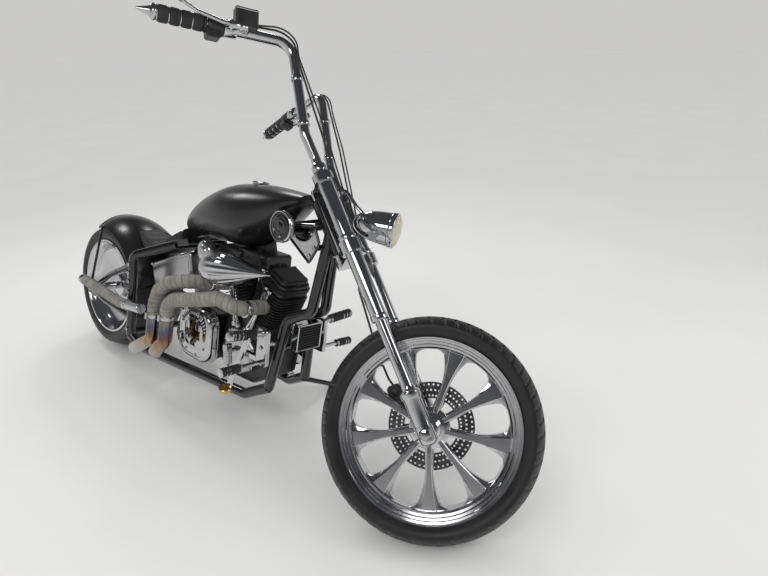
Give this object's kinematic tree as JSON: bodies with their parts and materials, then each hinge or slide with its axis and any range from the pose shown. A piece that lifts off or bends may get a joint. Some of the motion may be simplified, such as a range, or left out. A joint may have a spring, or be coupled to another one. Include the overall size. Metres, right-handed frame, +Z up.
{
  "type": "chopper motorcycle",
  "caption": "Long-fork chopper motorcycle with a finned V engine, rigid frame, wide rear wheel, turning wheels, steering to its stops and a folding side stand it leans on.",
  "frame": {"origin": "middle of the whole bike's box, on the floor", "axes": "+X forward along the bike, +Y to its left, +Z up; the bike leans to +Y on its side stand with the steering turned to its left stop"},
  "size_m": [2.6318, 0.8756, 1.6246],
  "materials": {
    "satin_black_paint": "satin",
    "gloss_black_paint": "gloss",
    "chrome": "mirror polish",
    "polished_aluminium": "polished",
    "black_engine": "wrinkle black",
    "steel": "brushed",
    "exhaust_wrap": "woven glass tape",
    "black_rubber": "matte",
    "tyre": "matte",
    "seat_leather": "grained",
    "black_plastic": "matte",
    "lamp_glass": "clear"
  },
  "bodies": {
    "chassis": {"frame_neck": "gloss_black_paint", "frame_backbone": "gloss_black_paint", "frame_downtubes": "gloss_black_paint", "frame_cradle": "gloss_black_paint", "frame_post_left": "gloss_black_paint", "frame_post_right": "gloss_black_paint", "frame_crossbars": "gloss_black_paint", "rear_stay_left": "gloss_black_paint", "rear_stay_right": "gloss_black_paint", "rear_axle": "steel", "gusset_plate": "polished_aluminium", "fuel_tank": "satin_black_paint", "seat": "seat_leather", "rear_fender": "satin_black_paint", "oil_tank": "polished_aluminium", "horn": "black_engine", "oil_cooler": "black_engine", "engine_case": "black_engine", "cylinder_front": "black_engine", "cylinder_rear": "black_engine", "gearbox": "black_engine", "gearbox_cover": "polished_aluminium", "primary_cover": "chrome", "drive_belt": "black_rubber", "air_cleaner": "chrome", "breather": "chrome", "exhaust_headers": "exhaust_wrap", "exhaust_pipes": "chrome", "tail_pipe": "exhaust_wrap", "foot_control_left": "chrome", "foot_control_right": "chrome"},
    "fork": {"fork_lowers": "polished_aluminium", "fork_tubes": "chrome", "front_axle": "steel", "lower_clamp": "chrome", "upper_clamp": "chrome", "handlebar_left": "chrome", "handlebar_right": "chrome", "grip_left": "black_rubber", "grip_right": "black_rubber", "control_left": "chrome", "control_right": "chrome", "reservoir": "black_plastic", "headlamp_shell": "chrome", "headlamp_lens": "lamp_glass", "headlamp_band": "chrome", "front_caliper": "black_engine", "brake_hose": "black_rubber"},
    "front_wheel": {"front_rim": "polished_aluminium", "front_tyre": "tyre", "front_disc": "steel"},
    "rear_wheel": {"rear_rim": "polished_aluminium", "rear_tyre": "tyre", "rear_pulley": "polished_aluminium"},
    "side_stand": {"side_stand": "gloss_black_paint"}
  },
  "joints": [
    {"name": "steering", "type": "hinge", "parent": "chassis", "child": "fork", "pos_m": [0.93059, -0.12675, 0.30386], "axis": [-0.6255, 0.1953, 0.7554], "range_deg": [-63, 0]},
    {"name": "front_wheel_turn", "type": "hinge", "parent": "fork", "child": "front_wheel", "pos_m": [0.9705, -0.08838, 0.32699], "axis": [-0.4077, 0.7436, -0.5299], "continuous": true},
    {"name": "rear_wheel_turn", "type": "hinge", "parent": "chassis", "child": "rear_wheel", "pos_m": [-0.98292, -0.11994, 0.3302], "axis": [0, 0.9681, -0.2504], "continuous": true},
    {"name": "side_stand_fold", "type": "hinge", "parent": "chassis", "child": "side_stand", "pos_m": [0.13498, 0.0079, 0.12957], "axis": [-0.1158, -0.487, -0.8657], "range_deg": [-90, 0]}
  ]
}
